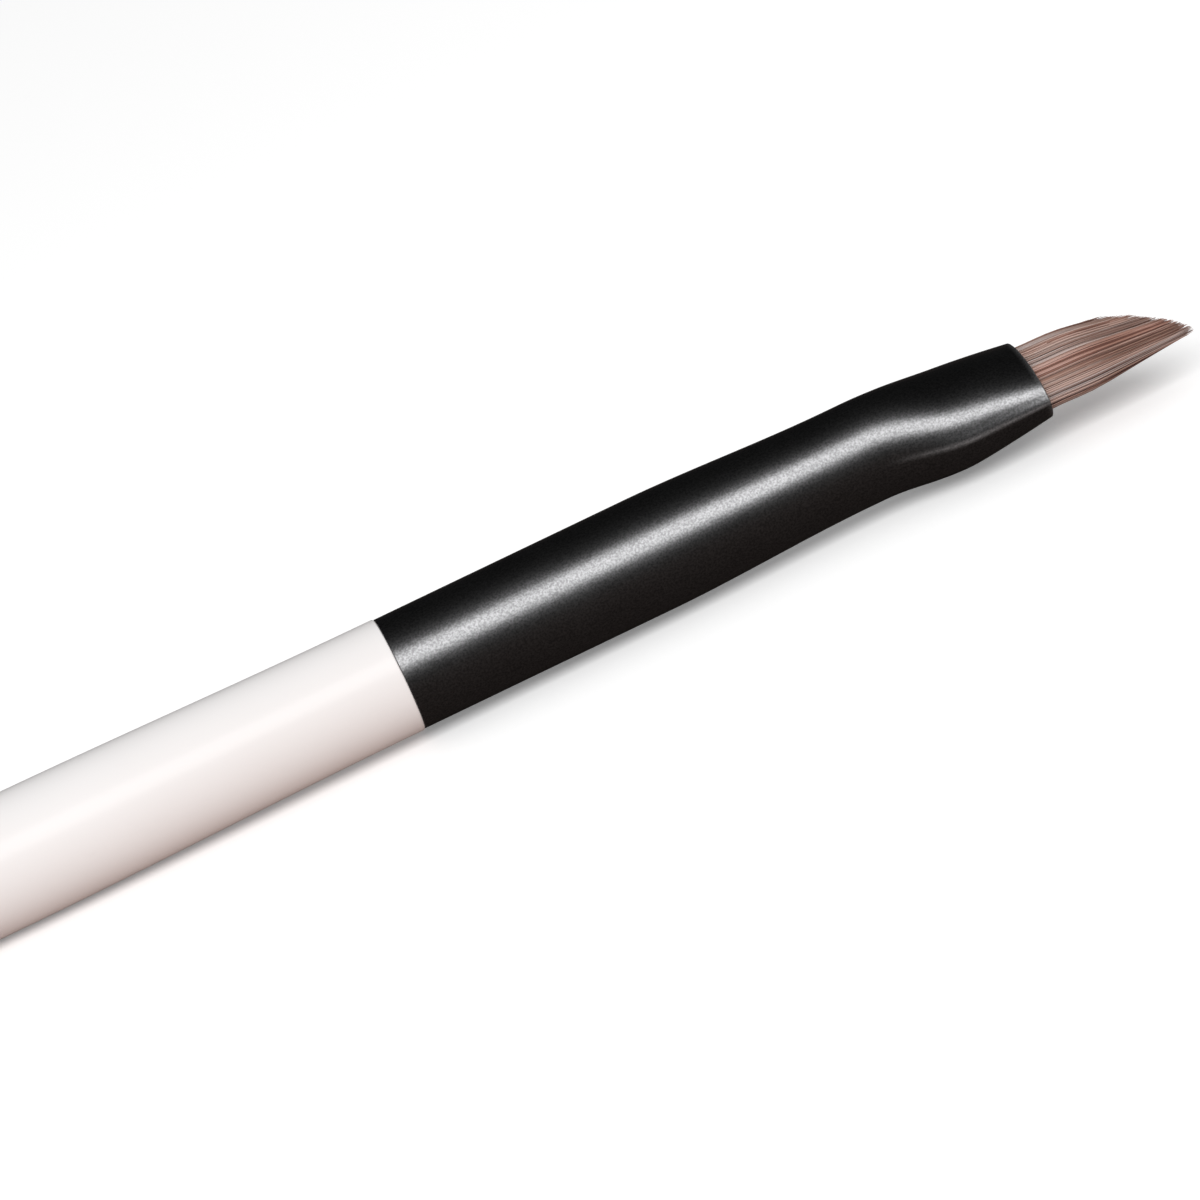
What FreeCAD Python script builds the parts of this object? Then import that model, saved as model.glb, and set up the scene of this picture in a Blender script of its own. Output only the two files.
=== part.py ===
"""Double-ended eyebrow brush: a turned handle with a flat angled hair brush on one end
and a twisted-wire spoolie on the other.

The brush lies on the belly of its handle, along X, with the hair towards +X. The flat of
the hair ferrule lies level, because the pressing set its weight a little to the lower side.
The origin is on the surface it lies on, at the middle of its length, and +Z is up.
Every piece is first made about the X axis, with the seat of the hair ferrule at zero,
and then carried to its resting place.
"""
import FreeCAD, Part
import math
import os
from FreeCAD import Vector

# Handle, in millimetres.
handle_length = 90.0
handle_end_d = 6.6
belly_d = 7.2
swell_length = 24.0
tenon_length = 11.5
tenon_chamfer = 0.6
glue_gap = 0.03

# Straight steps that stand for each turned curve.
flow_steps = 4

# Tube that both ferrules are made from.
ferrule_d = 6.5
ferrule_wall = 0.35

# Hair ferrule: round where it grips the handle, drawn in to a neck, then pressed flat.
hair_ferrule_length = 38.0
neck_start = 15.0
neck_end = 27.0
neck_d = 5.76
crimp_start = 28.0
fold_full = 33.6
rim_width = 7.6
rim_thickness = 3.8
press_start = 30.2
press_power = 1.7
crimp_sink = 0.43
neck_bands = 4
crimp_bands = 7

# Hair tuft: a chisel with an angled end, its roots set in a plug of glue.
hair_root = 24.0
plug_start = 21.5
plug_end = 26.5
plug_wall = 0.3
plug_gap = 0.05
rim_gap = 0.06
hair_long_side = 9.2
hair_cut_angle = 33.0
hair_tip_thickness = 1.3
hair_tip_width = 6.6
lock_count = 30
lock_groove = 0.13
tooth_pitch = 0.42
tooth_depth = 0.5

# Spoolie ferrule: a round sleeve that closes to a slim nose round the wire.
spoolie_grip_length = 12.0
nose_length = 9.0
nose_d = 3.4
wire_depth = 7.0

# Twisted wire: one wire bent double, its two strands wound round the filaments.
wire_d = 0.65
filament_d = 0.12
pinch_gap = 0.03
twist_pitch = 3.2
wire_neck = 4.0
wire_stub = 0.6
untwist_length = 1.2
wire_sides = 6
steps_per_turn = 7
bend_steps = 6

# Spoolie filaments: each row goes right through the wire and out on both sides.
bristle_length = 24.0
filament_step = 0.24
bristle_d = 6.0
bristle_tip_d = 3.8
tip_taper = 8.0
base_taper = 1.6
bristle_base_d = 4.8

# Derived sizes.
ferrule_r = ferrule_d / 2
bore_r = ferrule_r - ferrule_wall
tenon_r = bore_r - glue_gap
strand_r = wire_d / 2
strand_offset = strand_r + filament_d / 2 + pinch_gap
wire_envelope_r = strand_offset + strand_r
handle_back = -handle_length
nose_tip = handle_back - spoolie_grip_length - nose_length
wire_tip = nose_tip - wire_neck - bristle_length - wire_stub
hair_tip = hair_ferrule_length + hair_long_side
rest_shift = Vector(-(hair_tip + wire_tip) / 2, 0, belly_d / 2)
along = Vector(1, 0, 0)
wide_way = Vector(0, -1, 0)
thin_way = Vector(0, 0, 1)


def ease(x, start, end):
    """Goes smoothly from 0 at start to 1 at end."""
    share = min(1.0, max(0.0, (x - start) / (end - start)))
    return share * share * (3 - 2 * share)


def flat_face(corners):
    return Part.Face(Part.makePolygon(corners + corners[:1]))


def turned(profile):
    """The solid that a closed outline of (place, radius) points sweeps about the X axis."""
    face = flat_face([Vector(x, 0, radius) for x, radius in profile])
    return face.revolve(Vector(0, 0, 0), along, 360)


def flowing(start, end):
    """Profile points on a smooth S that leaves start and reaches end along the axis."""
    points = []
    for i in range(flow_steps + 1):
        share = i / flow_steps
        radius = start[1] + (end[1] - start[1]) * ease(share, 0, 1)
        points.append((start[0] + (end[0] - start[0]) * share, radius))
    return points


def make_handle():
    """Turned handle: a swelling belly between two shoulders, and a tenon at each end."""
    end_r = handle_end_d / 2
    belly_r = belly_d / 2
    tip_r = tenon_r - tenon_chamfer
    tenon = [(tenon_length, 0), (tenon_length, tip_r), (tenon_length - tenon_chamfer, tenon_r),
             (0, tenon_r)]
    back_tenon = [(handle_back - x, radius) for x, radius in tenon]
    profile = tenon + flowing((0, end_r), (-swell_length, belly_r))
    profile += flowing((handle_back + swell_length, belly_r), (handle_back, end_r))
    return turned(profile + back_tenon[::-1])


def tube_size(x):
    """Half width, half thickness and sink of the hair ferrule's outside at x."""
    neck_r = neck_d / 2
    radius = ferrule_r + (neck_r - ferrule_r) * ease(x, neck_start, neck_end)
    fold = ease(x, crimp_start, fold_full)
    half_wide = radius + (rim_width / 2 - neck_r) * fold
    press = max(0.0, (x - press_start) / (hair_ferrule_length - press_start)) ** press_power
    half_thin = radius - (neck_r - rim_thickness / 2) * press
    return half_wide, half_thin, crimp_sink * fold


def oval(x, inset):
    """The tube's section at x, drawn in by inset: a circle, or an ellipse where it is pressed."""
    half_wide, half_thin, sink = tube_size(x)
    curve = Part.Ellipse(along * x - thin_way * sink, half_wide - inset, half_thin - inset)
    curve.Axis = along
    curve.XAxis = wide_way
    return Part.Wire([curve.toShape()])


def bands(start, end, count):
    """Places from start up to end that part the length into count equal bands."""
    return [start + (end - start) * i / count for i in range(count)]


def tube_loft(places, inset):
    """The solid within the tube's skin through these places, drawn in by inset."""
    return Part.makeLoft([oval(x, inset) for x in places], True, True)


def make_hair_ferrule():
    """Thin tube that grips the handle, narrows to a neck and is pressed flat at the rim."""
    places = [0] + bands(neck_start, neck_end, neck_bands)
    places += bands(neck_end, crimp_start, 1)
    places += bands(crimp_start, hair_ferrule_length, crimp_bands) + [hair_ferrule_length]
    return tube_loft(places, 0).cut(tube_loft(places, ferrule_wall))


def make_glue_plug():
    """Cup of set glue in the ferrule's neck, with the hair roots in it."""
    plug = tube_loft([plug_start, hair_root, plug_end], ferrule_wall + plug_gap)
    recess = tube_loft([hair_root, plug_end], ferrule_wall + plug_wall)
    return plug.cut(recess)


def lock_outline(x, half_wide, half_thin, sink, groove):
    """Section of the tuft at x, with a groove between each lock of hair and the next."""
    points = []
    for i in range(lock_count):
        for share, depth in ((0.0, groove), (0.3, 0.0), (0.7, 0.0)):
            angle = 2 * math.pi * (i + share) / lock_count
            wide = (half_wide - depth) * math.cos(angle)
            thin = (half_thin - depth) * math.sin(angle) - sink
            points.append(along * x + wide_way * wide + thin_way * thin)
    return Part.makePolygon(points + points[:1])


def make_hair_tuft():
    """Bundle of hair: held in the ferrule, thinned to a chisel and cut at an angle."""
    root_inset = ferrule_wall + plug_wall + glue_gap
    rim_inset = ferrule_wall + rim_gap
    rim_x = hair_ferrule_length
    sections = []
    for x, inset in ((hair_root, root_inset), (plug_end, root_inset), (fold_full, root_inset),
                     (rim_x, rim_inset)):
        half_wide, half_thin, sink = tube_size(x)
        sections.append(lock_outline(x, half_wide - inset, half_thin - inset, sink, lock_groove))
    half_wide, half_thin, sink = tube_size(rim_x)
    for share in (0.3, 0.65, 1.0):
        wide = half_wide - rim_inset + (hair_tip_width / 2 - half_wide + rim_inset) * share
        thin = half_thin - rim_inset + (hair_tip_thickness / 2 - half_thin + rim_inset) * share
        sections.append(lock_outline(rim_x + hair_long_side * share, wide, thin, sink, lock_groove))
    tuft = Part.makeLoft(sections, True, True)
    return tuft.cut(make_angled_cut())


def make_angled_cut():
    """What the angled cut takes off: a block with a toothed face, one tooth to a lock."""
    reach = rim_width
    slope = math.tan(math.radians(hair_cut_angle))
    long_side = hair_tip_width / 2
    count = math.ceil(2 * reach / tooth_pitch)
    points = []
    for i in range(2 * count + 1):
        wide = -reach + i * tooth_pitch / 2
        x = hair_tip - (long_side - wide) * slope - tooth_depth * (i % 2)
        points.append(along * x + wide_way * wide)
    far = hair_tip + reach * (1 + slope)
    points.append(along * far + wide_way * (-reach + count * tooth_pitch))
    points.append(along * far - wide_way * reach)
    face = Part.Face(Part.makePolygon(points + points[:1]))
    face.translate(thin_way * -reach)
    return face.extrude(thin_way * 2 * reach)


def make_spoolie_ferrule():
    """Sleeve on the back tenon, closing in one flowing curve to the nose."""
    taper = handle_back - spoolie_grip_length
    nose_r = nose_d / 2
    outside = [(handle_back, ferrule_r)] + flowing((taper, ferrule_r), (nose_tip, nose_r))
    inside = [(handle_back, bore_r)] + flowing((taper, bore_r), (nose_tip, nose_r - ferrule_wall))
    return turned(outside + inside[::-1])


def make_spoolie_bush():
    """Plug that fills the nose and holds the bent end of the wire in a blind bore."""
    taper = handle_back - spoolie_grip_length
    nose_r = nose_d / 2 - ferrule_wall - glue_gap
    bore = wire_envelope_r + glue_gap
    bore_end = nose_tip + wire_depth + glue_gap
    profile = [(taper, 0)] + flowing((taper, bore_r - glue_gap), (nose_tip, nose_r))
    return turned(profile + [(nose_tip, bore), (bore_end, bore), (bore_end, 0)])


def twist_angle(x):
    """Turn of the wire pair at x: steady from the tip, easing to none before the bend."""
    turn = 2 * math.pi / twist_pitch
    twist_end = nose_tip + wire_depth - wire_envelope_r - untwist_length
    if x <= twist_end:
        return turn * (x - wire_tip)
    share = min(1.0, (x - twist_end) / untwist_length)
    slowing = untwist_length * (share - share ** 3 + share ** 4 / 2)
    return turn * (twist_end - wire_tip + slowing)


def strand_section(centre, out, forward):
    """Corners of a small polygon round the strand, square to the way it runs."""
    side = forward.cross(out)
    points = []
    for i in range(wire_sides):
        angle = 2 * math.pi * i / wire_sides
        spoke = out * math.cos(angle) + side * math.sin(angle)
        points.append(centre + spoke * strand_r)
    return points


def skinned(sections):
    """The solid through a row of polygons, with two flat faces for each side of each step."""
    faces = [flat_face(sections[0]), flat_face(sections[-1])]
    for near, far in zip(sections, sections[1:]):
        for i in range(len(near)):
            faces.append(flat_face([near[i - 1], near[i], far[i]]))
            faces.append(flat_face([near[i - 1], far[i], far[i - 1]]))
    solid = Part.Solid(Part.Shell(faces))
    if solid.Volume < 0:
        solid.reverse()
    return solid


def strand_sections(start_angle, way):
    """Sections of one strand from the tip to the bend, or back again if way is -1."""
    bend_x = nose_tip + wire_depth - wire_envelope_r
    count = math.ceil((bend_x - wire_tip) / twist_pitch * steps_per_turn)
    probe = 0.001
    sections = []
    for i in range(count + 1):
        x = wire_tip + (bend_x - wire_tip) * i / count
        angle = start_angle + twist_angle(x)
        out = Vector(0, math.cos(angle), math.sin(angle))
        rate = (twist_angle(x + probe) - twist_angle(x - probe)) / (2 * probe)
        if i == 0:
            rate = 0.0
        forward = along + along.cross(out) * (strand_offset * rate)
        forward.normalize()
        sections.append(strand_section(along * x + out * strand_offset, out, forward * way))
    return sections


def make_spoolie_wire():
    """One wire bent double in the bush, its two strands wound round each other."""
    bend_x = nose_tip + wire_depth - wire_envelope_r
    last = twist_angle(bend_x)
    out = Vector(0, math.cos(last), math.sin(last))
    there = strand_sections(0, 1)
    back = strand_sections(math.pi, -1)
    bend = []
    for i in range(1, bend_steps):
        angle = math.pi * i / bend_steps
        spoke = out * math.cos(angle) + along * math.sin(angle)
        forward = along * math.cos(angle) - out * math.sin(angle)
        bend.append(strand_section(along * bend_x + spoke * strand_offset, spoke, forward))
    return skinned(there + bend + back[::-1])


def filament_reach(x):
    """Half length of the filaments at x, measured from the end of the wire's neck."""
    widest = bristle_d / 2
    base = bristle_base_d / 2 + (widest - bristle_base_d / 2) * min(1.0, x / base_taper)
    return base + (bristle_tip_d / 2 - widest) * ease(x, bristle_length - tip_taper, bristle_length)


def make_spoolie_bristles():
    """Rows of filaments pinched between the strands, each row turned with the twist."""
    base_x = nose_tip - wire_neck
    count = round(bristle_length / filament_step)
    rows = []
    for i in range(count):
        place = (i + 0.5) * filament_step
        reach = filament_reach(place)
        row = Part.makeBox(filament_step, 2 * reach, filament_d,
                           Vector(-filament_step / 2, -reach, -filament_d / 2))
        turn = twist_angle(base_x - place) + math.pi / 2
        row.rotate(Vector(0, 0, 0), along, math.degrees(turn))
        row.translate(along * (base_x - place))
        rows.append(row)
    return rows[0].multiFuse(rows[1:]).Solids[0]


pieces = {
    "handle": make_handle,
    "brush_ferrule": make_hair_ferrule,
    "hair_glue_plug": make_glue_plug,
    "hair_tuft": make_hair_tuft,
    "spoolie_ferrule": make_spoolie_ferrule,
    "spoolie_bush": make_spoolie_bush,
    "spoolie_wire": make_spoolie_wire,
    "spoolie_bristles": make_spoolie_bristles,
}

os.makedirs("parts", exist_ok=True)
for name, make in pieces.items():
    shape = make()
    shape.translate(rest_shift)
    shape.exportStep(f"parts/{name}.step")
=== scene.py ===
"""Looks of the double-ended eyebrow brush: lacquered handle, satin ferrules, hair and spoolie."""
import math
import bpy
from mathutils import Matrix, Vector


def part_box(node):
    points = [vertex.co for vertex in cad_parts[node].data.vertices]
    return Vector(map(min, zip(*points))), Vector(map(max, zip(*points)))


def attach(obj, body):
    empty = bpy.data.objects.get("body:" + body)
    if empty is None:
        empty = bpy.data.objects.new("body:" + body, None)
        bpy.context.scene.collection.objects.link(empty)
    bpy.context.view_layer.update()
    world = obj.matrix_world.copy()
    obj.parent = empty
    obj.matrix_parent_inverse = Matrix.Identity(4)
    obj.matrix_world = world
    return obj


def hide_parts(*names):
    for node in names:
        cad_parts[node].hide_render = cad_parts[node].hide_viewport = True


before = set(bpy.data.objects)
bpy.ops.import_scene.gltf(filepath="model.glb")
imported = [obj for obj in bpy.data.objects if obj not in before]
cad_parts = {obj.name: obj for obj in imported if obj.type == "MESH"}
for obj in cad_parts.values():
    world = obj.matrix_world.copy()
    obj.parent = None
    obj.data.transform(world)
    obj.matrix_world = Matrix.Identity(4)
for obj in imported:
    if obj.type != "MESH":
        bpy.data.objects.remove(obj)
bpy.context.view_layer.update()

MM = 0.001

# Places read from the solids in model.glb, in metres.
ferrule_low, ferrule_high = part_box("brush_ferrule")
sleeve_low, sleeve_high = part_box("spoolie_ferrule")
handle_low, handle_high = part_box("handle")
wire_low, wire_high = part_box("spoolie_wire")
bristle_low, bristle_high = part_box("spoolie_bristles")
axis_z = (handle_low.z + handle_high.z) / 2
seat_x = ferrule_low.x
rim_x = ferrule_high.x
back_x = sleeve_high.x
nose_x = sleeve_low.x
belly_r = (handle_high.z - handle_low.z) / 2
ferrule_r = (sleeve_high.z - sleeve_low.z) / 2

# Sizes that the solids have too, in metres unless they are named otherwise.
handle_end_r = 3.3 * MM
swell_length = 24.0 * MM
wall = 0.35 * MM
neck_start = 15.0 * MM
neck_end = 27.0 * MM
neck_r = 2.88 * MM
crimp_start = 28.0 * MM
fold_full = 33.6 * MM
rim_half_width = 3.8 * MM
rim_half_thickness = 1.9 * MM
press_start = 30.2 * MM
press_power = 1.7
crimp_sink = 0.43 * MM
ferrule_length = rim_x - seat_x
grip_length = 12.0 * MM
nose_r = 1.7 * MM
wire_r = 0.325 * MM
strand_offset = 0.415 * MM
twist_pitch = 3.2 * MM
wire_depth = 7.0 * MM
untwist_length = 1.2 * MM
hair_long_side = 9.2 * MM
hair_cut_angle = math.radians(33)
hair_clearance = 0.07 * MM
tip_half_width = 3.3 * MM

# Small roundings of the real pieces, and the hidden end of the handle's shoulders.
edge_round = 0.06 * MM
shoulder_round = 0.12 * MM
hidden_r = 2.0 * MM
burr = 0.05 * MM

# Folds of the hair ferrule: how deep and how wide the crease beside each is, as a share of the
# half width and in radians, and the painted highlight, a lighter line for the light these edges catch:
# how narrow it is at each fold, how strong on the rim and how far back from the rim it reaches.
crease_depth = 0.025
crease_spread = 0.14
highlight_spread = 0.05
rim_highlight = 0.6
rim_highlight_length = 0.2 * MM

# Fineness of the made surfaces. A long run starts past_edge from its rounded edge.
ring_points = 144
round_steps = 4
grip_steps = 14
press_steps = 110
bore_steps = 70
swell_steps = 50
sleeve_steps = 8
nose_steps = 40
nose_bore_steps = 24
past_edge = 0.4 * MM

# Fineness of the wire, whose cut ends shrink to these shares of its radius.
strand_sides = 14
twist_steps = 26
bend_steps = 12
cut_shares = (0.55, 0.86)
past_cut = 0.3 * MM
probe = 0.001 * MM

# Curves of the hair and the filaments: how many points and sides each has.
hair_points = 11
hair_sides = 3
filament_points = 5
filament_sides = 3


def ease(x, start, end):
    """Goes smoothly from 0 at start to 1 at end."""
    share = min(1.0, max(0.0, (x - start) / (end - start)))
    return share * share * (3 - 2 * share)


def spread(start, end, count):
    """Places from start to end, both of them in, with count steps between."""
    return [start + (end - start) * i / count for i in range(count + 1)]


def new_object(name, data):
    """An object of the scene that holds this mesh, lamp or camera."""
    made = bpy.data.objects.new(name, data)
    bpy.context.scene.collection.objects.link(made)
    return made


def mesh_piece(name, corners, faces, material, flat_angle=35):
    """A piece from corners and faces, smooth but for edges sharper than flat_angle."""
    mesh = bpy.data.meshes.new(name)
    mesh.from_pydata(corners, [], faces)
    mesh.polygons.foreach_set("use_smooth", [True] * len(mesh.polygons))
    mesh.set_sharp_from_angle(angle=math.radians(flat_angle))
    mesh.materials.append(material)
    return new_object(name, mesh)


def skin(rings, closed=False):
    """Corners and faces through a row of rings; closed joins the last ring to the first."""
    corners = [point for ring in rings for point in ring]
    around = len(rings[0])
    pairs = list(zip(range(len(rings) - 1), range(1, len(rings))))
    if closed:
        pairs.append((len(rings) - 1, 0))
    faces = []
    for near, far in pairs:
        for i in range(around):
            j = (i + 1) % around
            faces.append((near * around + i, near * around + j, far * around + j, far * around + i))
    if not closed:
        faces.append(tuple(reversed(range(around))))
        faces.append(tuple(range(len(corners) - around, len(corners))))
    return corners, faces


def turned_ring(x, radius):
    """Circle round the brush's axis at x."""
    points = []
    for i in range(ring_points):
        angle = 2 * math.pi * i / ring_points
        points.append((x, -radius * math.sin(angle), axis_z + radius * math.cos(angle)))
    return points


def turned_piece(name, profile, material, closed=True):
    """A turned piece from an outline of (place, radius) points, its outside run backwards along X."""
    corners, faces = skin([turned_ring(x, radius) for x, radius in profile], closed)
    return mesh_piece(name, corners, faces, material)


def rounded(corner, before, after):
    """Points that round a corner of a profile between a point before it and one after."""
    points = []
    for share in spread(0, 1, round_steps):
        a = [before[k] + (corner[k] - before[k]) * share for k in (0, 1)]
        b = [corner[k] + (after[k] - corner[k]) * share for k in (0, 1)]
        points.append((a[0] + (b[0] - a[0]) * share, a[1] + (b[1] - a[1]) * share))
    return points


def tube_size(s):
    """Half width, half thickness and sink of the hair ferrule's outside, s from its seat."""
    radius = ferrule_r + (neck_r - ferrule_r) * ease(s, neck_start, neck_end)
    fold = ease(s, crimp_start, fold_full)
    half_wide = radius + (rim_half_width - neck_r) * fold
    press = max(0.0, (s - press_start) / (ferrule_length - press_start)) ** press_power
    half_thin = radius - (neck_r - rim_half_thickness) * press
    return half_wide, half_thin, crimp_sink * fold


def tube_ring(s, inset):
    """Ring of the hair ferrule at s, drawn in by inset, with a faint crease at each fold."""
    half_wide, half_thin, sink = tube_size(s)
    fold = ease(s, crimp_start, fold_full)
    points = []
    for i in range(ring_points):
        angle = 2 * math.pi * i / ring_points
        wide = (half_wide - inset) * math.cos(angle)
        thin = (half_thin - inset) * math.sin(angle) - sink
        off_fold = math.asin(min(1.0, abs(math.sin(angle)))) / crease_spread
        wide *= 1 - crease_depth * fold * (1 - math.exp(-off_fold * off_fold))
        points.append((seat_x + s, -wide, axis_z + thin))
    return points


def ring_painted_highlight(s, inset):
    """Painted highlight round a ring of the ferrule: a lighter line on its two folds and its rim."""
    fold = ease(s, crimp_start, fold_full)
    rim = rim_highlight * ease(s, ferrule_length - rim_highlight_length, ferrule_length)
    highlight_shares = []
    for i in range(ring_points):
        off_fold = math.asin(abs(math.sin(2 * math.pi * i / ring_points))) / highlight_spread
        highlight_shares.append(0.0 if inset > edge_round else max(rim, fold * math.exp(-off_fold * off_fold)))
    return highlight_shares


def make_brush_ferrule(material):
    """Thin satin tube: rounded at its seat, pressed flat towards a thin rounded rim."""
    quarter = [share * math.pi / 2 for share in spread(0, 1, round_steps)]
    stations = []
    for turn in quarter:
        stations.append((edge_round * (1 - math.cos(turn)), edge_round * (1 - math.sin(turn))))
    stations += [(s, 0.0) for s in spread(past_edge, neck_start, grip_steps)]
    pressed = spread(neck_start, ferrule_length - 2 * edge_round, press_steps)
    stations += [(s, 0.0) for s in pressed[1:]]
    for turn in quarter:
        stations.append((ferrule_length - edge_round * (1 - math.sin(turn)),
                         edge_round * (1 - math.cos(turn))))
    stations += [(s, wall) for s in spread(ferrule_length - edge_round, 0.0, bore_steps)]
    corners, faces = skin([tube_ring(s, inset) for s, inset in stations], closed=True)
    piece = mesh_piece("brush_ferrule_tube", corners, [face[::-1] for face in faces], material)
    # Painted highlight: a lighter line along both folds and round the rim, for the light those edges
    # catch.
    painted_highlight = piece.data.attributes.new("painted_highlight", "FLOAT", "POINT")
    painted_highlight.data.foreach_set("value", [highlight_share for s, inset in stations for highlight_share in ring_painted_highlight(s, inset)])
    return piece


def make_handle(material):
    """Lacquered handle between the ferrules, with softly rounded shoulders."""
    swell = [(x, handle_end_r + (belly_r - handle_end_r) * ease(x, 0, swell_length))
             for x in spread(past_edge, swell_length, swell_steps)]
    profile = [(seat_x, hidden_r)]
    profile += rounded((seat_x, handle_end_r), (seat_x, handle_end_r - shoulder_round),
                       (seat_x - shoulder_round, handle_end_r))
    profile += [(seat_x - x, radius) for x, radius in swell]
    profile += [(back_x + x, radius) for x, radius in reversed(swell)]
    profile += rounded((back_x, handle_end_r), (back_x + shoulder_round, handle_end_r),
                       (back_x, handle_end_r - shoulder_round))
    profile.append((back_x, hidden_r))
    return turned_piece("handle_body", profile, material, closed=False)


def make_spoolie_ferrule(material):
    """Satin sleeve that closes in one flowing curve to a rounded nose."""
    taper_x = back_x - grip_length
    outside = rounded((back_x, ferrule_r), (back_x, ferrule_r - edge_round),
                      (back_x - edge_round, ferrule_r))
    outside += [(x, ferrule_r) for x in spread(back_x - past_edge, taper_x, sleeve_steps)]
    for share in spread(0, 1, nose_steps)[1:-1]:
        radius = ferrule_r + (nose_r - ferrule_r) * ease(share, 0, 1)
        outside.append((taper_x + (nose_x - taper_x) * share, radius))
    outside += rounded((nose_x, nose_r), (nose_x + edge_round, nose_r), (nose_x, nose_r - edge_round))
    inside = [(nose_x, nose_r - wall)]
    for share in spread(1, 0, nose_bore_steps)[1:]:
        radius = ferrule_r - wall + (nose_r - ferrule_r) * ease(share, 0, 1)
        inside.append((taper_x + (nose_x - taper_x) * share, radius))
    inside.append((back_x, ferrule_r - wall))
    return turned_piece("spoolie_sleeve", outside + inside, material)


def twist_angle(x):
    """Turn of the wire pair at x: steady from the tip, easing to none before the bend."""
    turn = 2 * math.pi / twist_pitch
    twist_end = nose_x + wire_depth - strand_offset - wire_r - untwist_length
    if x <= twist_end:
        return turn * (x - wire_low.x)
    share = min(1.0, (x - twist_end) / untwist_length)
    slowing = untwist_length * (share - share ** 3 + share ** 4 / 2)
    return turn * (twist_end - wire_low.x + slowing)


def strand_ring(centre, out, forward, radius):
    """Circle round the middle of a strand, square to the way it runs."""
    side = forward.cross(out)
    ring = []
    for i in range(strand_sides):
        angle = 2 * math.pi * i / strand_sides
        ring.append(tuple(centre + (out * math.cos(angle) + side * math.sin(angle)) * radius))
    return ring


def strand_rings(start_angle, way, bend_x):
    """Rings of one strand from its softly cut tip to the bend, or back again if way is -1."""
    along = Vector((1, 0, 0))
    count = math.ceil((bend_x - wire_low.x) / twist_pitch * twist_steps)
    places = [(wire_low.x, share) for share in cut_shares] + [(wire_low.x + burr, 1.0)]
    places += [(x, 1.0) for x in spread(wire_low.x + past_cut, bend_x, count)]
    rings = []
    for x, size in places:
        angle = start_angle + twist_angle(x)
        out = Vector((0, math.cos(angle), math.sin(angle)))
        rate = (twist_angle(x + probe) - twist_angle(x - probe)) / (2 * probe)
        if x <= wire_low.x + burr:
            rate = 0.0
        forward = (along + along.cross(out) * (strand_offset * rate)).normalized()
        centre = Vector((x, 0, axis_z)) + out * strand_offset
        rings.append(strand_ring(centre, out, forward * way, wire_r * size))
    return rings


def make_wire(material):
    """One drawn wire bent double inside the ferrule, its two strands wound round each other."""
    along = Vector((1, 0, 0))
    bend_x = nose_x + wire_depth - strand_offset - wire_r
    last = twist_angle(bend_x)
    out = Vector((0, math.cos(last), math.sin(last)))
    rings = strand_rings(0, 1, bend_x)
    for angle in spread(0, math.pi, bend_steps)[1:-1]:
        spoke = out * math.cos(angle) + along * math.sin(angle)
        forward = along * math.cos(angle) - out * math.sin(angle)
        centre = Vector((bend_x, 0, axis_z)) + spoke * strand_offset
        rings.append(strand_ring(centre, spoke, forward, wire_r))
    rings += strand_rings(math.pi, -1, bend_x)[::-1]
    corners, faces = skin(rings)
    return mesh_piece("twisted_wire", corners, faces, material, flat_angle=50)


# Small helpers for node trees. A Mix node's colour sockets are told apart by their numbers.

MIX_A = 6
MIX_B = 7
MIX_RESULT = 2


class Amount:
    """A number that a node tree works out, ready for plain sums with others."""

    def __init__(self, socket):
        self.socket = socket

    def __add__(self, other):
        return calc("ADD", self, other)

    def __sub__(self, other):
        return calc("SUBTRACT", self, other)

    def __rsub__(self, other):
        return calc("SUBTRACT", other, self)

    def __mul__(self, other):
        return calc("MULTIPLY", self, other)

    def __truediv__(self, other):
        return calc("DIVIDE", self, other)

    def __pow__(self, other):
        return calc("POWER", self, other)


def add_node(tree, kind, inputs=None, **settings):
    """Adds a node, sets what it is told, and fills inputs from values, amounts or sockets."""
    made = tree.nodes.new(kind)
    for name, value in settings.items():
        setattr(made, name, value)
    for name, value in (inputs or {}).items():
        if isinstance(name, int):
            socket = made.inputs[name]
        else:
            socket = next(s for s in made.inputs if s.name == name and s.enabled)
        if isinstance(value, Amount):
            value = value.socket
        if isinstance(value, bpy.types.NodeSocket):
            tree.links.new(value, socket)
        else:
            socket.default_value = value
    return made


def calc(operation, *values):
    """Outcome of a math node on amounts and plain numbers."""
    tree = next(value.socket.id_data for value in values if isinstance(value, Amount))
    made = add_node(tree, "ShaderNodeMath", dict(enumerate(values)), operation=operation)
    return Amount(made.outputs[0])


def chance(item, seed, low=0.0, high=1.0):
    """A fixed random number between low and high for each item."""
    made = add_node(item.socket.id_data, "FunctionNodeRandomValue",
                    {"Min": low, "Max": high, "ID": item, "Seed": seed}, data_type="FLOAT")
    return Amount(next(s for s in made.outputs if s.enabled))


def smooth_share(value, start=0.0, end=1.0):
    """Goes smoothly from 0 to 1 as value goes from start to end."""
    made = add_node(value.socket.id_data, "ShaderNodeMapRange",
                    {"Value": value, "From Min": start, "From Max": end},
                    interpolation_type="SMOOTHSTEP")
    return Amount(made.outputs["Result"])


def tree_with_inputs(name, sizes):
    """A geometry tree with these named sizes as inputs, and each of them as an amount."""
    tree = bpy.data.node_groups.new(name, "GeometryNodeTree")
    for way in ("OUTPUT", "INPUT"):
        tree.interface.new_socket("Geometry", in_out=way, socket_type="NodeSocketGeometry")
    for label, value in sizes.items():
        kind = "NodeSocketInt" if isinstance(value, int) else "NodeSocketFloat"
        tree.interface.new_socket(label, in_out="INPUT", socket_type=kind)
    outputs = tree.nodes.new("NodeGroupInput").outputs
    return tree, {label: Amount(outputs[label]) for label in sizes}


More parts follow.
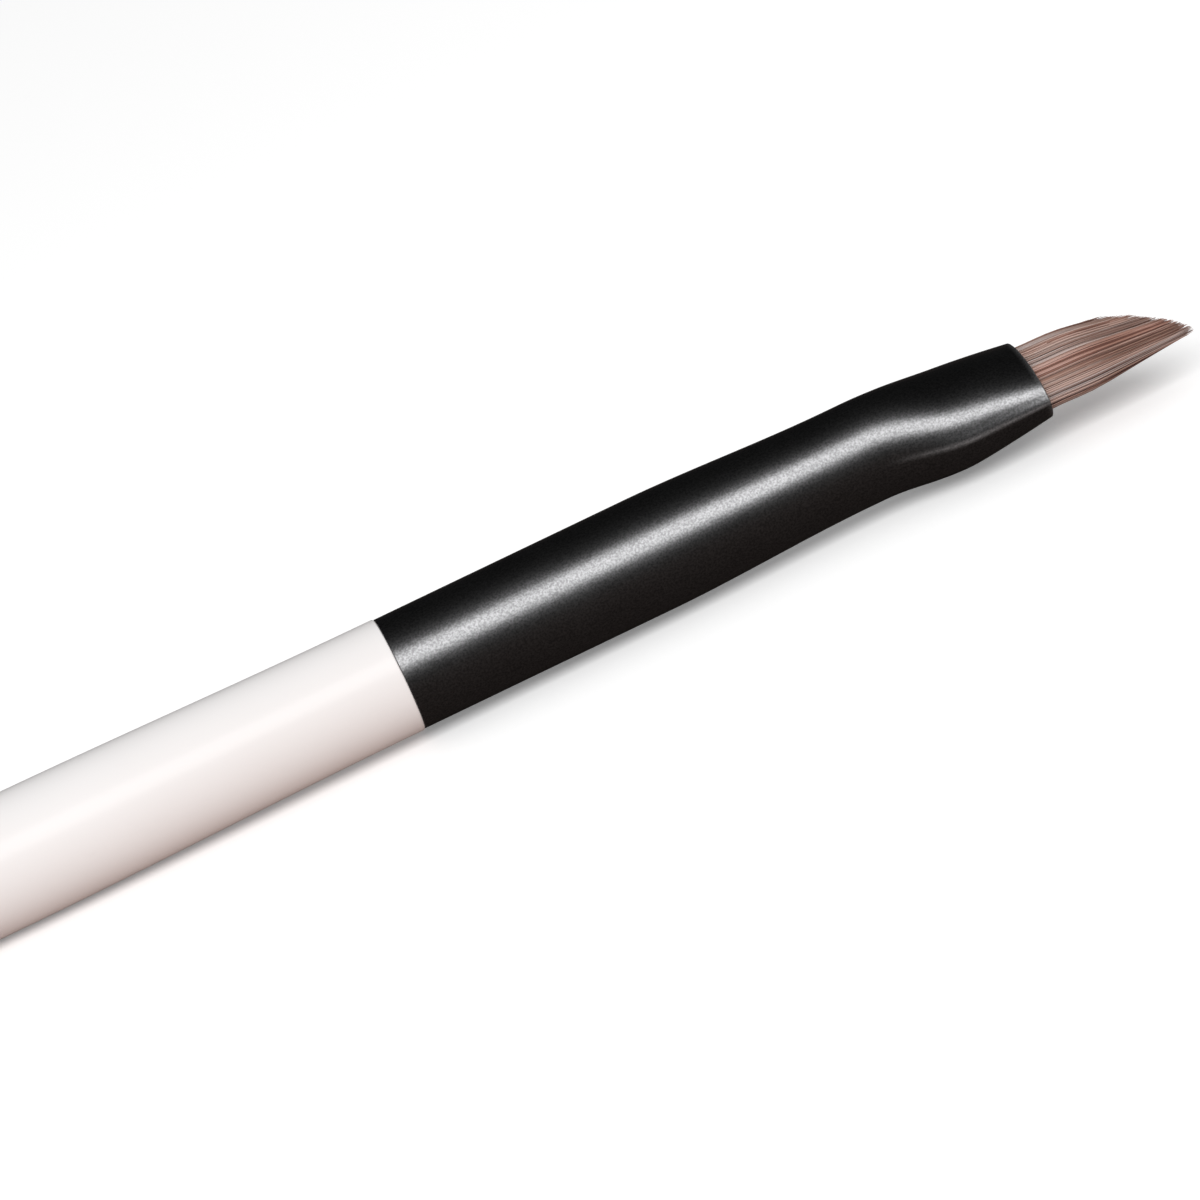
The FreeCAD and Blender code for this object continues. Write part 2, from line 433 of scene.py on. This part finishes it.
def thin_curves(tree, count, points):
    """As many straight curves as count says, the number of each and the share along it."""
    line = add_node(tree, "GeometryNodeCurvePrimitiveLine")
    fine = add_node(tree, "GeometryNodeResampleCurve", {"Curve": line.outputs["Curve"], "Count": points})
    dots = add_node(tree, "GeometryNodePoints", {"Count": count})
    copies = add_node(tree, "GeometryNodeInstanceOnPoints",
                      {"Points": dots.outputs[0], "Instance": fine.outputs["Curve"]})
    real = add_node(tree, "GeometryNodeRealizeInstances", {"Geometry": copies.outputs[0]})
    number = add_node(tree, "GeometryNodeCurveOfPoint").outputs["Curve Index"]
    share = add_node(tree, "GeometryNodeSplineParameter").outputs["Factor"]
    return real.outputs[0], Amount(number), Amount(share)


def finish_curves(tree, curves, place, radius, sides, marks, material):
    """Puts the curves in place, gives them marks, a body and a finish, and ends the tree."""
    x, y, z = place
    spot = add_node(tree, "ShaderNodeCombineXYZ", {"X": x, "Y": y, "Z": z})
    moved = add_node(tree, "GeometryNodeSetPosition", {"Geometry": curves, "Position": spot.outputs[0]})
    for name, value in marks.items():
        moved = add_node(tree, "GeometryNodeStoreNamedAttribute",
                         {"Geometry": moved.outputs[0], "Name": name, "Value": value}, data_type="FLOAT")
    profile = add_node(tree, "GeometryNodeCurvePrimitiveCircle", {"Resolution": sides, "Radius": 1.0})
    body = add_node(tree, "GeometryNodeCurveToMesh",
                    {"Curve": moved.outputs[0], "Profile Curve": profile.outputs["Curve"],
                     "Scale": radius, "Fill Caps": True})
    real = add_node(tree, "GeometryNodeRealizeInstances", {"Geometry": body.outputs[0]})
    done = add_node(tree, "GeometryNodeSetMaterial", {"Geometry": real.outputs[0], "Material": material})
    add_node(tree, "NodeGroupOutput", {"Geometry": done.outputs[0]})


def grown_piece(name, tree, sizes):
    """Runs a geometry tree with its sizes and keeps the result as a plain mesh."""
    seed_mesh = bpy.data.meshes.new(name + "_seed")
    grower = new_object(name + "_seed", seed_mesh)
    modifier = grower.modifiers.new("grow", "NODES")
    modifier.node_group = tree
    for item in tree.interface.items_tree:
        if item.name in sizes:
            modifier[item.identifier] = sizes[item.name]
    graph = bpy.context.evaluated_depsgraph_get()
    mesh = bpy.data.meshes.new_from_object(grower.evaluated_get(graph), depsgraph=graph)
    bpy.data.objects.remove(grower)
    bpy.data.meshes.remove(seed_mesh)
    mesh.name = name
    mesh.polygons.foreach_set("use_smooth", [True] * len(mesh.polygons))
    return new_object(name, mesh)


def make_hair(material):
    """Hairs that leave the rim side by side, close to a thin edge and end at an angled cut."""
    sizes = {
        "Hairs": 3000,
        "Rim half width": rim_half_width - wall - hair_clearance,
        "Rim half thickness": rim_half_thickness - wall - hair_clearance,
        "Tip half width": tip_half_width,
        "Tip half thickness": 0.62 * MM,
        "Root": rim_x - 0.8 * MM,
        "Rim": rim_x,
        "Longest": rim_x + hair_long_side,
        "Cut slope": math.tan(hair_cut_angle),
        "Hair radius": 0.038 * MM,
        "Thinnest": 0.75,
        "Thickest": 1.2,
        "Blunt point": 6.0,
        "Least point": 0.25,
        "Centre height": axis_z - crimp_sink,
        "Root crowding": 1.4,
        "Flare": 0.43 * MM,
        "Flare length": 3.6 * MM,
        "Soft closing": 0.2,
        "Uneven cut": 0.5 * MM,
        "Uneven bias": 2.0,
        "Shorter edge": 0.35 * MM,
        "Edge bias": 6.0,
        "Stray": 0.16 * MM,
        "Stray growth": 1.5,
        "Stray in thickness": 0.6,
        "Clump scale": 3.5,
        "Clump lean": 3.0,
        "Own lean": 0.6,
        "Own tone": 0.7,
        "Clump tone": 0.3,
        "Paler root": 0.3,
    }
    tree, size = tree_with_inputs("hair tuft", sizes)
    curves, hair, share = thin_curves(tree, size["Hairs"], hair_points)

    # Where each hair stands in the tuft, as shares of its half width and half thickness.
    turn = chance(hair, 1, 0.0, 2 * math.pi)
    ring = calc("SQRT", chance(hair, 2))
    across = ring * calc("COSINE", turn)
    up = ring * calc("SINE", turn)
    root_wide = across * size["Rim half width"]
    root_thin = up * size["Rim half thickness"]
    tip_wide = across * size["Tip half width"]
    tip_thin = up * size["Tip half thickness"]

    # How far it reaches, with its points closer together towards the root.
    behind = (size["Tip half width"] - tip_wide) * size["Cut slope"]
    uneven = chance(hair, 3) ** size["Uneven bias"] * size["Uneven cut"]
    shorter = ring ** size["Edge bias"] * size["Shorter edge"]
    tip = size["Longest"] - behind - (uneven + shorter)
    x = size["Root"] + share ** size["Root crowding"] * (tip - size["Root"])
    out = calc("MAXIMUM", 0.0, (x - size["Rim"]) / (tip - size["Rim"]))
    close = calc("SMOOTH_MIN", out, 1.0, size["Soft closing"])

    # How it leans, with its clump and by itself, and how the tuft opens past the rim.
    patch = add_node(tree, "ShaderNodeCombineXYZ", {"X": across, "Y": up, "Z": 0.0})
    clump = add_node(tree, "ShaderNodeTexNoise",
                     {"Vector": patch.outputs[0], "Scale": size["Clump scale"], "Detail": 1.0})
    lean = add_node(tree, "ShaderNodeSeparateXYZ", {"Vector": clump.outputs["Color"]})
    sway = []
    for channel, seed in (("X", 5), ("Y", 6)):
        drift = (Amount(lean.outputs[channel]) - 0.5) * size["Clump lean"]
        own = chance(hair, seed, -1.0, 1.0) * size["Own lean"]
        sway.append((drift + own) * size["Stray"] * out ** size["Stray growth"])
    opened = smooth_share((x - size["Rim"]) / size["Flare length"])
    flare = opened * size["Flare"] * (1.0 - close)
    wide = sway[0] + across * flare + (root_wide + close * (tip_wide - root_wide))
    thin = (sway[1] * size["Stray in thickness"] + up * flare
            + (root_thin + close * (tip_thin - root_thin)))
    place = (x, wide * -1.0, thin + size["Centre height"])

    # A blunt point, a tone of its own and the redness of its clump.
    point = (1.0 - share ** size["Blunt point"]) ** 0.5
    full = size["Hair radius"] * chance(hair, 7, size["Thinnest"], size["Thickest"])
    radius = full * calc("MAXIMUM", point, size["Least point"])
    tone = chance(hair, 8) * size["Own tone"] + Amount(clump.outputs["Fac"]) * size["Clump tone"]
    marks = {"tone": tone + (1.0 - opened) * size["Paler root"], "redness": lean.outputs["Z"]}
    finish_curves(tree, curves, place, radius, hair_sides, marks, material)
    return grown_piece("brow_hair", tree, sizes)


def make_bristles(material):
    """Nylon filaments that go through the twist and stand out of it on both sides."""
    sizes = {
        "Filaments": 2600,
        "Base": bristle_high.x,
        "Length": bristle_high.x - bristle_low.x - 0.2 * MM,
        "Tip of the wire": wire_low.x,
        "Pitch": twist_pitch,
        "Half span": (bristle_high.z - bristle_low.z) / 2 - 0.03 * MM,
        "Shortest": 0.9,
        "Tip half span": 1.9 * MM,
        "Tip taper": 8.0 * MM,
        "Base half span": 2.4 * MM,
        "Base taper": 1.6 * MM,
        "Filament radius": 0.038 * MM,
        "Thinnest": 0.85,
        "Thickest": 1.1,
        "Scatter": 0.02 * MM,
        "Turn scatter": 0.16,
        "Bend": 0.12 * MM,
        "Axis height": axis_z,
    }
    tree, size = tree_with_inputs("spoolie filaments", sizes)
    curves, item, share = thin_curves(tree, size["Filaments"], filament_points)

    # Where each filament goes through the wire, at a right angle to the strands there.
    depth = (item + 0.5) / size["Filaments"] * size["Length"]
    x = size["Base"] - depth + chance(item, 11, -1.0, 1.0) * size["Scatter"]
    start = chance(item, 12, -1.0, 1.0) * size["Turn scatter"] + 0.5 * math.pi
    turn = start + (x - size["Tip of the wire"]) / size["Pitch"] * (2 * math.pi)

    # How far it stands out, less at both ends of the spoolie.
    near_base = calc("MINIMUM", 1.0, depth / size["Base taper"])
    rise = near_base * (size["Half span"] - size["Base half span"])
    near_tip = smooth_share(depth, size["Length"] - size["Tip taper"], size["Length"])
    fall = near_tip * (size["Half span"] - size["Tip half span"])
    span = size["Base half span"] + rise - fall
    side = share * 2.0 - 1.0
    reach = span * chance(item, 13, size["Shortest"], 1.0) * side
    bend = side * side * (chance(item, 14, -1.0, 1.0) * size["Bend"])
    place = (x + bend, reach * calc("COSINE", turn), size["Axis height"] + reach * calc("SINE", turn))

    radius = size["Filament radius"] * chance(item, 15, size["Thinnest"], size["Thickest"])
    marks = {"tone": chance(item, 16)}
    finish_curves(tree, curves, place, radius, filament_sides, marks, material)
    return grown_piece("spoolie_filaments", tree, sizes)


# Shared effects and finishes.

def grain_group():
    """Shared effect: fine grain and slow mottling over any surface, both from 0 to 1."""
    tree = bpy.data.node_groups.new("surface grain", "ShaderNodeTree")
    for way, labels in (("INPUT", ("Grain scale", "Mottle scale")), ("OUTPUT", ("Grain", "Mottle"))):
        for label in labels:
            tree.interface.new_socket(label, in_out=way, socket_type="NodeSocketFloat")
    size = tree.nodes.new("NodeGroupInput").outputs
    place = tree.nodes.new("ShaderNodeTexCoord").outputs["Object"]
    grain = add_node(tree, "ShaderNodeTexNoise",
                     {"Vector": place, "Scale": size["Grain scale"], "Detail": 2.0})
    mottle = add_node(tree, "ShaderNodeTexNoise",
                      {"Vector": place, "Scale": size["Mottle scale"], "Detail": 3.0})
    add_node(tree, "NodeGroupOutput",
             {"Grain": grain.outputs["Fac"], "Mottle": mottle.outputs["Fac"]})
    return tree


surface_grain = grain_group()


def new_material(name, color, roughness, **sockets):
    """A material with its Principled shader set, and the tree and shader to build on."""
    material = bpy.data.materials.new(name)
    material.use_nodes = True
    tree = material.node_tree
    shader = tree.nodes["Principled BSDF"]
    shader.inputs["Base Color"].default_value = (*color, 1)
    shader.inputs["Roughness"].default_value = roughness
    for label, value in sockets.items():
        shader.inputs[label.replace("_", " ")].default_value = value
    return material, tree, shader


def place_grain(tree, grain_scale, mottle_scale):
    """The shared grain and mottle, set for one material."""
    made = tree.nodes.new("ShaderNodeGroup")
    made.node_tree = surface_grain
    made.inputs["Grain scale"].default_value = grain_scale
    made.inputs["Mottle scale"].default_value = mottle_scale
    return made.outputs["Grain"], made.outputs["Mottle"]


def mark(tree, name):
    """A mark that the piece's mesh carries."""
    return add_node(tree, "ShaderNodeAttribute", attribute_name=name).outputs["Fac"]


def between(tree, share, low, high):
    """A number that goes from low to high as share goes from 0 to 1."""
    made = add_node(tree, "ShaderNodeMapRange", {"Value": share, "To Min": low, "To Max": high})
    return made.outputs["Result"]


def color_ramp(tree, share, stops):
    """Colour along a ramp with (place, colour) stops."""
    ramp = tree.nodes.new("ShaderNodeValToRGB")
    while len(ramp.color_ramp.elements) < len(stops):
        ramp.color_ramp.elements.new(0.5)
    for element, (place, color) in zip(ramp.color_ramp.elements, stops):
        element.position = place
        element.color = (*color, 1)
    tree.links.new(share, ramp.inputs["Fac"])
    return ramp.outputs["Color"]


def bump(tree, height, depth):
    """Normal from a height between 0 and 1, depth metres deep."""
    made = add_node(tree, "ShaderNodeBump", {"Height": height, "Distance": depth})
    return made.outputs["Normal"]


def white_lacquer():
    """Sprayed white lacquer over wood: warm white, glossy, with a trace of orange peel."""
    material, tree, shader = new_material("white lacquer", (0.79, 0.765, 0.755), 0.3,
                                          Coat_Weight=0.14, Coat_Roughness=0.16, Specular_IOR_Level=0.25)
    grain, mottle = place_grain(tree, 900.0, 60.0)
    color = color_ramp(tree, mottle, ((0.3, (0.775, 0.75, 0.742)), (0.7, (0.80, 0.78, 0.775))))
    tree.links.new(color, shader.inputs["Base Color"])
    tree.links.new(between(tree, mottle, 0.26, 0.36), shader.inputs["Roughness"])
    tree.links.new(bump(tree, grain, 0.003 * MM), shader.inputs["Normal"])
    return material


def black_satin():
    """Black satin metal with a sandy grain that breaks up its highlight, and a painted highlight line."""
    material, tree, shader = new_material("black satin ferrule", (0.12, 0.12, 0.125), 0.3,
                                          Metallic=1.0)
    grain, mottle = place_grain(tree, 9000.0, 220.0)
    color = color_ramp(tree, grain, ((0.35, (0.16, 0.16, 0.163)), (0.65, (0.288, 0.288, 0.292))))
    # Painted highlight: where the mesh marks it, the metal gives way to a lighter diffuse colour on folds
    # and rim.
    patchy_highlight = Amount(mark(tree, "painted_highlight")) * Amount(between(tree, mottle, 0.2, 0.9))
    tree.links.new(color, shader.inputs["Base Color"])
    tree.links.new(between(tree, patchy_highlight, 1.0, 0.25), shader.inputs["Metallic"])
    tree.links.new(between(tree, mottle, 0.27, 0.36), shader.inputs["Roughness"])
    tree.links.new(bump(tree, grain, 0.004 * MM), shader.inputs["Normal"])
    return material


def brow_hair_finish():
    """Brown hair, each with its own tone, from dark umber to a pale pinkish taupe."""
    material, tree, shader = new_material("brow hair", (0.2, 0.12, 0.09), 0.42,
                                          Specular_IOR_Level=0.6)
    tone = mark(tree, "tone")
    color = color_ramp(tree, tone, ((0.0, (0.05, 0.025, 0.018)), (0.3, (0.22, 0.11, 0.08)),
                                    (0.6, (0.38, 0.24, 0.19)), (1.0, (0.62, 0.49, 0.44))))
    tint = color_ramp(tree, mark(tree, "redness"),
                      ((0.35, (0.9, 0.95, 1.0)), (0.5, (1.0, 0.93, 0.9)), (0.65, (1.02, 0.82, 0.77))))
    tinted = add_node(tree, "ShaderNodeMix", {"Factor": 1.0, MIX_A: color, MIX_B: tint},
                      data_type="RGBA", blend_type="MULTIPLY")
    tree.links.new(tinted.outputs[MIX_RESULT], shader.inputs["Base Color"])
    tree.links.new(between(tree, tone, 0.5, 0.34), shader.inputs["Roughness"])
    return material


def nylon_finish():
    """Dark nylon filament with a light sheen."""
    material, tree, shader = new_material("nylon filament", (0.02, 0.018, 0.018), 0.35)
    tone = mark(tree, "tone")
    color = color_ramp(tree, tone, ((0.0, (0.014, 0.012, 0.012)), (1.0, (0.085, 0.072, 0.068))))
    tree.links.new(color, shader.inputs["Base Color"])
    tree.links.new(between(tree, tone, 0.3, 0.45), shader.inputs["Roughness"])
    return material


def steel_wire():
    """Drawn stainless wire with faint streaks."""
    material, tree, shader = new_material("steel wire", (0.6, 0.6, 0.62), 0.25, Metallic=0.7)
    grain, mottle = place_grain(tree, 6000.0, 900.0)
    color = color_ramp(tree, mottle, ((0.3, (0.50, 0.50, 0.52)), (0.7, (0.66, 0.66, 0.68))))
    tree.links.new(color, shader.inputs["Base Color"])
    tree.links.new(between(tree, grain, 0.18, 0.34), shader.inputs["Roughness"])
    return material


def bush_plastic():
    """Black moulded plastic."""
    material, tree, shader = new_material("bush plastic", (0.03, 0.03, 0.03), 0.5)
    grain, mottle = place_grain(tree, 5000.0, 400.0)
    tree.links.new(between(tree, mottle, 0.42, 0.58), shader.inputs["Roughness"])
    tree.links.new(bump(tree, grain, 0.004 * MM), shader.inputs["Normal"])
    return material


def set_glue():
    """Clear amber glue, set hard."""
    material, tree, shader = new_material("set glue", (0.5, 0.36, 0.18), 0.2)
    grain, mottle = place_grain(tree, 1500.0, 500.0)
    color = color_ramp(tree, mottle, ((0.3, (0.42, 0.28, 0.12)), (0.7, (0.58, 0.44, 0.24))))
    tree.links.new(color, shader.inputs["Base Color"])
    tree.links.new(between(tree, grain, 0.12, 0.3), shader.inputs["Roughness"])
    return material


# Camera, set as the photograph was taken: from low on the near side, with the brush rising
# to the right and its hair end a little further away.
picture_pixels = 1200
pixels_per_mm = 18.46
picture_width = picture_pixels / pixels_per_mm * MM
camera_azimuth = math.radians(-5.5)
camera_elevation = math.radians(25.0)
camera_roll = math.radians(23.3)
camera_distance = 0.42
nearest_seen = 0.01
farthest_seen = 10
centre_past_seat = 11.58 * MM
centre_below_axis = 1.08 * MM

# Lamp: long along the brush, high on the near side. Sizes in metres, power in watts.
lamp_angle = math.radians(47)
lamp_distance = 0.5
lamp_length = 0.8
lamp_width = 0.26
lamp_power = 2.35

# Floor: its colour to the camera and to the light it gives back, a lift that keeps it white,
# and how much of it a glossy surface doesn't mirror.
floor_half = 1.5
floor_seen = (0.9, 0.9, 0.9, 1)
floor_bounce = (0.62, 0.5, 0.46, 1)
floor_lift = 0.2
floor_unmirrored = 0.92

# Even light from all round, and how little of it a glossy surface mirrors.
even_light = 0.53
even_mirrored = 0.012


def make_camera():
    """Camera that looks at the ferrule, with the brush rising across the picture."""
    data = bpy.data.cameras.new("camera")
    camera = new_object("camera", data)
    bpy.context.scene.camera = camera
    a, e = camera_azimuth, camera_elevation
    back = Vector((math.sin(a) * math.cos(e), -math.cos(a) * math.cos(e), math.sin(e)))
    level = Vector((math.cos(a), math.sin(a), 0))
    upright = back.cross(level)
    right = level * math.cos(camera_roll) - upright * math.sin(camera_roll)
    up = upright * math.cos(camera_roll) + level * math.sin(camera_roll)
    slope = math.atan2(up.x, right.x)
    down_across = right * math.sin(slope) - up * math.cos(slope)
    target = Vector((seat_x + centre_past_seat, 0, axis_z)) + down_across * centre_below_axis
    camera.location = target + back * camera_distance
    camera.rotation_mode = "QUATERNION"
    camera.rotation_quaternion = Matrix((right, up, back)).transposed().to_quaternion()
    data.lens = data.sensor_width * camera_distance / picture_width
    data.clip_start = nearest_seen
    data.clip_end = farthest_seen


def make_lamp():
    """A soft rectangular lamp, long along the brush, that faces the ferrule's seat."""
    data = bpy.data.lights.new("key", "AREA")
    data.shape = "RECTANGLE"
    data.size = lamp_length
    data.size_y = lamp_width
    data.energy = lamp_power
    lamp = new_object("key", data)
    aim = Vector((0, -math.cos(lamp_angle), math.sin(lamp_angle)))
    lamp.location = Vector((seat_x, 0, axis_z)) + aim * lamp_distance
    lamp.rotation_mode = "QUATERNION"
    lamp.rotation_quaternion = aim.to_track_quat("Z", "Y")


def make_floor():
    """Plain pale floor: white to the camera, darker where a glossy surface mirrors it."""
    mesh = bpy.data.meshes.new("floor")
    corners = [(x * floor_half, y * floor_half, 0) for x, y in ((-1, -1), (1, -1), (1, 1), (-1, 1))]
    mesh.from_pydata(corners, [], [(0, 1, 2, 3)])
    material = bpy.data.materials.new("pale floor")
    material.use_nodes = True
    tree = material.node_tree
    tree.nodes.clear()
    path = tree.nodes.new("ShaderNodeLightPath").outputs
    seen = add_node(tree, "ShaderNodeMix",
                    {"Factor": path["Is Camera Ray"], MIX_A: floor_bounce, MIX_B: floor_seen},
                    data_type="RGBA")
    matt = add_node(tree, "ShaderNodeBsdfDiffuse", {"Color": seen.outputs[MIX_RESULT]})
    lift = add_node(tree, "ShaderNodeEmission", {"Strength": Amount(path["Is Camera Ray"]) * floor_lift})
    both = add_node(tree, "ShaderNodeAddShader", {0: matt.outputs[0], 1: lift.outputs[0]})
    dark = add_node(tree, "ShaderNodeEmission", {"Strength": 0.0})
    unmirrored = Amount(path["Is Glossy Ray"]) * floor_unmirrored
    mixed = add_node(tree, "ShaderNodeMixShader", {0: unmirrored, 1: both.outputs[0], 2: dark.outputs[0]})
    add_node(tree, "ShaderNodeOutputMaterial", {"Surface": mixed.outputs[0]})
    mesh.materials.append(material)
    new_object("floor", mesh)


def make_world():
    """Soft even light, white to the camera and dim where a glossy surface mirrors it."""
    world = bpy.data.worlds.new("studio")
    bpy.context.scene.world = world
    world.use_nodes = True
    tree = world.node_tree
    background = tree.nodes["Background"]
    path = tree.nodes.new("ShaderNodeLightPath").outputs
    dim = Amount(between(tree, path["Is Glossy Ray"], even_light, even_mirrored))
    strength = calc("MAXIMUM", dim, Amount(path["Is Camera Ray"]))
    tree.links.new(strength.socket, background.inputs["Strength"])
    background.inputs["Color"].default_value = (1, 1, 1, 1)


def dress(piece, node):
    """Has the piece stand for a solid, whose own mesh it hides, and ride on the brush."""
    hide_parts(node)
    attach(piece, "root")


satin = black_satin()
dress(make_handle(white_lacquer()), "handle")
dress(make_brush_ferrule(satin), "brush_ferrule")
dress(make_spoolie_ferrule(satin), "spoolie_ferrule")
dress(make_hair(brow_hair_finish()), "hair_tuft")
dress(make_wire(steel_wire()), "spoolie_wire")
dress(make_bristles(nylon_finish()), "spoolie_bristles")
for node, finish in (("hair_glue_plug", set_glue()), ("spoolie_bush", bush_plastic())):
    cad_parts[node].data.materials.clear()
    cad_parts[node].data.materials.append(finish)

make_camera()
make_floor()
make_world()
make_lamp()
bpy.context.scene.view_settings.view_transform = "Standard"
